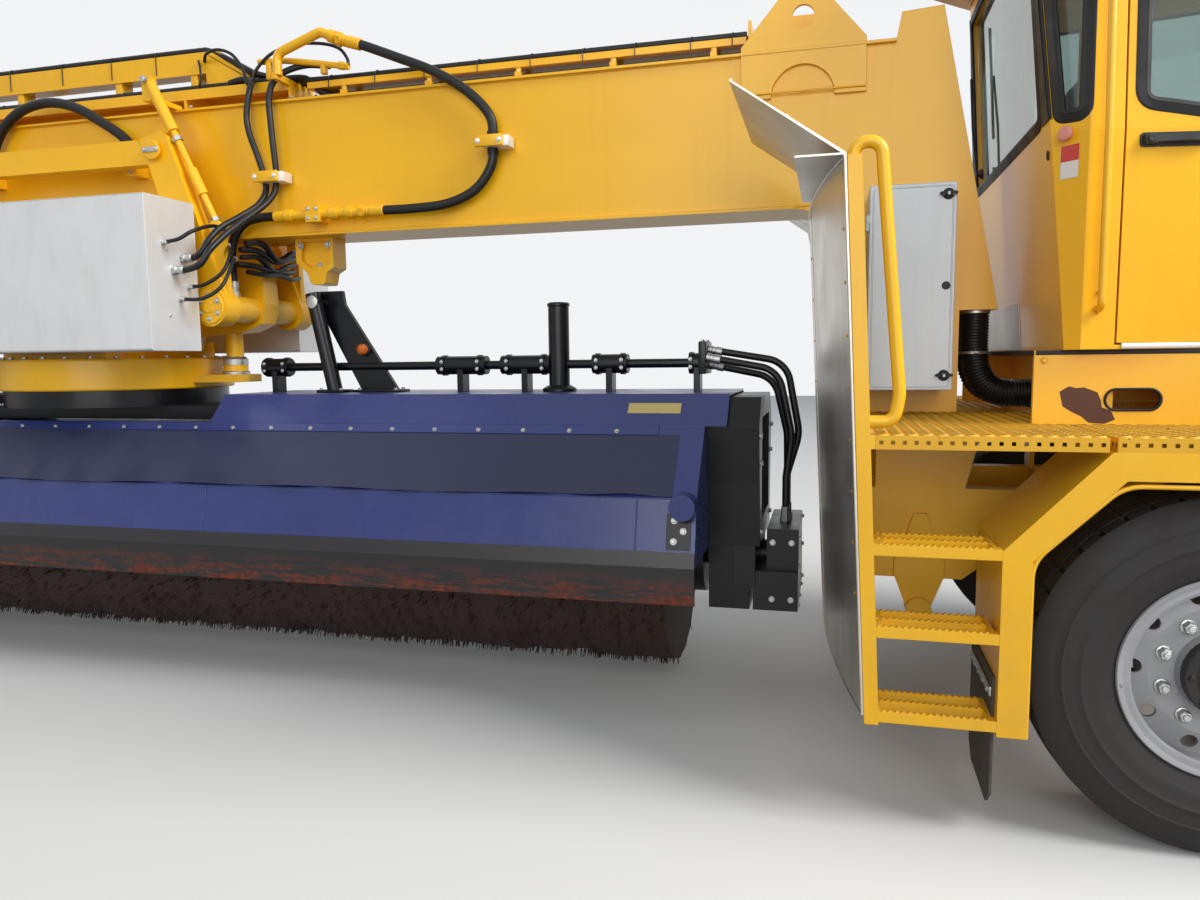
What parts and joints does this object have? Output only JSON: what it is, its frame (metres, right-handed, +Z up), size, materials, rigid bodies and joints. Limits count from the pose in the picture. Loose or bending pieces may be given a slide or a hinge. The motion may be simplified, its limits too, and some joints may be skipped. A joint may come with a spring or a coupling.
{
  "type": "airport runway sweeper",
  "caption": "Self-propelled runway sweeper: front cab, gooseneck beam over a slewing cylindrical brush, rear engine and air-blast module.",
  "frame": {"origin": "on the ground under the brush slewing axis, halfway along the vehicle", "axes": "+X forward, +Y to the driver's left, +Z up"},
  "size_m": [13.2, 2.55, 3.54],
  "materials": {
    "yellow_paint": "semi-gloss",
    "grey_paint": "satin",
    "dark_paint": "semi-gloss",
    "navy_paint": "semi-gloss",
    "stainless": "brushed",
    "galvanised": "matt",
    "aluminium": "satin",
    "black_rubber": "matt",
    "tyre_rubber": "matt",
    "silver_paint": "semi-gloss",
    "bristle": "matt",
    "window_glass": "polished",
    "lamp_lens": "polished",
    "grey_fabric": "woven",
    "dark_plastic": "grained",
    "axle_black": "matt"
  },
  "bodies": {
    "chassis": {"gooseneck_beam": "yellow_paint", "front_frame": "yellow_paint", "rear_frame": "yellow_paint", "spray_shields": "stainless", "deflector_flaps": "stainless", "cable_tray": "yellow_paint", "slew_hanger": "yellow_paint", "hydraulic_boxes": "aluminium", "lock_arm": "yellow_paint", "fenders": "yellow_paint", "walkways": "yellow_paint", "ladders": "yellow_paint", "mudflaps": "black_rubber", "equipment_cabinet": "grey_paint", "axles": "axle_black", "leaf_springs": "axle_black", "cab_shell": "yellow_paint", "cab_glass": "window_glass", "cab_roof": "yellow_paint", "driver_seat": "grey_fabric", "steering_console": "dark_plastic", "front_bumper": "yellow_paint", "plough_plate": "dark_paint", "lamps": "lamp_lens", "mirrors": "dark_plastic", "engine_hood": "yellow_paint", "grilles": "dark_paint", "exhaust_stack": "galvanised", "engine_block": "axle_black", "blower": "galvanised", "blast_nozzle": "stainless", "duct_hose": "black_rubber", "beam_hoses": "black_rubber"},
    "cabinet_door": {"cabinet_door": "grey_paint"},
    "cab_door_left": {"cab_door_left": "yellow_paint", "door_glass_left": "window_glass"},
    "cab_door_right": {"cab_door_right": "yellow_paint", "door_glass_right": "window_glass"},
    "engine_door_left": {"engine_door_left": "yellow_paint"},
    "engine_door_right": {"engine_door_right": "yellow_paint"},
    "slew_frame": {"slew_frame": "dark_paint"},
    "brush_head": {"brush_hood": "navy_paint", "hood_skirts": "black_rubber", "end_frames": "dark_paint", "guide_tube": "dark_paint", "head_hoses": "black_rubber"},
    "brush_roller": {"brush_roller": "bristle", "brush_core": "dark_paint"},
    "knuckle_front_left": {"knuckle_front_left": "axle_black"},
    "wheel_front_left": {"rim_front_left": "silver_paint", "tyre_front_left": "tyre_rubber"},
    "knuckle_front_right": {"knuckle_front_right": "axle_black"},
    "wheel_front_right": {"rim_front_right": "silver_paint", "tyre_front_right": "tyre_rubber"},
    "knuckle_rear_left": {"knuckle_rear_left": "axle_black"},
    "wheel_rear_left": {"rim_rear_left": "silver_paint", "tyre_rear_left": "tyre_rubber"},
    "knuckle_rear_right": {"knuckle_rear_right": "axle_black"},
    "wheel_rear_right": {"rim_rear_right": "silver_paint", "tyre_rear_right": "tyre_rubber"}
  },
  "joints": [
    {"name": "steer_front_left", "type": "hinge", "parent": "chassis", "child": "knuckle_front_left", "pos_m": [4.95, 0.95, 0.55], "axis": [0, 0, 1], "range_deg": [-25, 25]},
    {"name": "roll_front_left", "type": "hinge", "parent": "knuckle_front_left", "child": "wheel_front_left", "pos_m": [4.95, 1.0375, 0.55], "axis": [0, 1, 0], "continuous": true},
    {"name": "steer_front_right", "type": "hinge", "parent": "chassis", "child": "knuckle_front_right", "pos_m": [4.95, -0.95, 0.55], "axis": [0, 0, 1], "range_deg": [-25, 25]},
    {"name": "roll_front_right", "type": "hinge", "parent": "knuckle_front_right", "child": "wheel_front_right", "pos_m": [4.95, -1.0375, 0.55], "axis": [0, 1, 0], "continuous": true},
    {"name": "steer_rear_left", "type": "hinge", "parent": "chassis", "child": "knuckle_rear_left", "pos_m": [-4.95, 0.95, 0.55], "axis": [0, 0, 1], "range_deg": [-25, 25]},
    {"name": "roll_rear_left", "type": "hinge", "parent": "knuckle_rear_left", "child": "wheel_rear_left", "pos_m": [-4.95, 1.0375, 0.55], "axis": [0, 1, 0], "continuous": true},
    {"name": "steer_rear_right", "type": "hinge", "parent": "chassis", "child": "knuckle_rear_right", "pos_m": [-4.95, -0.95, 0.55], "axis": [0, 0, 1], "range_deg": [-25, 25]},
    {"name": "roll_rear_right", "type": "hinge", "parent": "knuckle_rear_right", "child": "wheel_rear_right", "pos_m": [-4.95, -1.0375, 0.55], "axis": [0, 1, 0], "continuous": true},
    {"name": "slew", "type": "hinge", "parent": "chassis", "child": "slew_frame", "pos_m": [0, 0, 1.37], "axis": [0, 0, 1], "range_deg": [0, 125]},
    {"name": "head_lift", "type": "slide", "parent": "slew_frame", "child": "brush_head", "axis": [0, 0, 1], "range_m": [-0.055, 0.02]},
    {"name": "brush_spin", "type": "hinge", "parent": "brush_head", "child": "brush_roller", "pos_m": [0, 0, 0.6], "axis": [1, 0, 0], "continuous": true},
    {"name": "cabinet_door_hinge", "type": "hinge", "parent": "chassis", "child": "cabinet_door", "pos_m": [3.94, -0.4413, 1.75], "axis": [0, 0, 1], "range_deg": [-100, 0]},
    {"name": "cab_door_right_hinge", "type": "hinge", "parent": "chassis", "child": "cab_door_right", "pos_m": [5.793, -0.65355, 1.85], "axis": [0, 0, 1], "range_deg": [0, 65]},
    {"name": "cab_door_left_hinge", "type": "hinge", "parent": "chassis", "child": "cab_door_left", "pos_m": [5.793, 0.65355, 1.85], "axis": [0, 0, 1], "range_deg": [-65, 0]},
    {"name": "engine_door_right_hinge", "type": "hinge", "parent": "chassis", "child": "engine_door_right", "pos_m": [-4.617, -1.212, 2.1], "axis": [0, 0, 1], "range_deg": [0, 100]},
    {"name": "engine_door_left_hinge", "type": "hinge", "parent": "chassis", "child": "engine_door_left", "pos_m": [-4.617, 1.212, 2.1], "axis": [0, 0, 1], "range_deg": [-100, 0]}
  ],
  "couplings": [
    {"joint": "steer_front_right", "follows": "steer_front_left", "ratio": 1},
    {"joint": "steer_rear_right", "follows": "steer_rear_left", "ratio": 1}
  ]
}
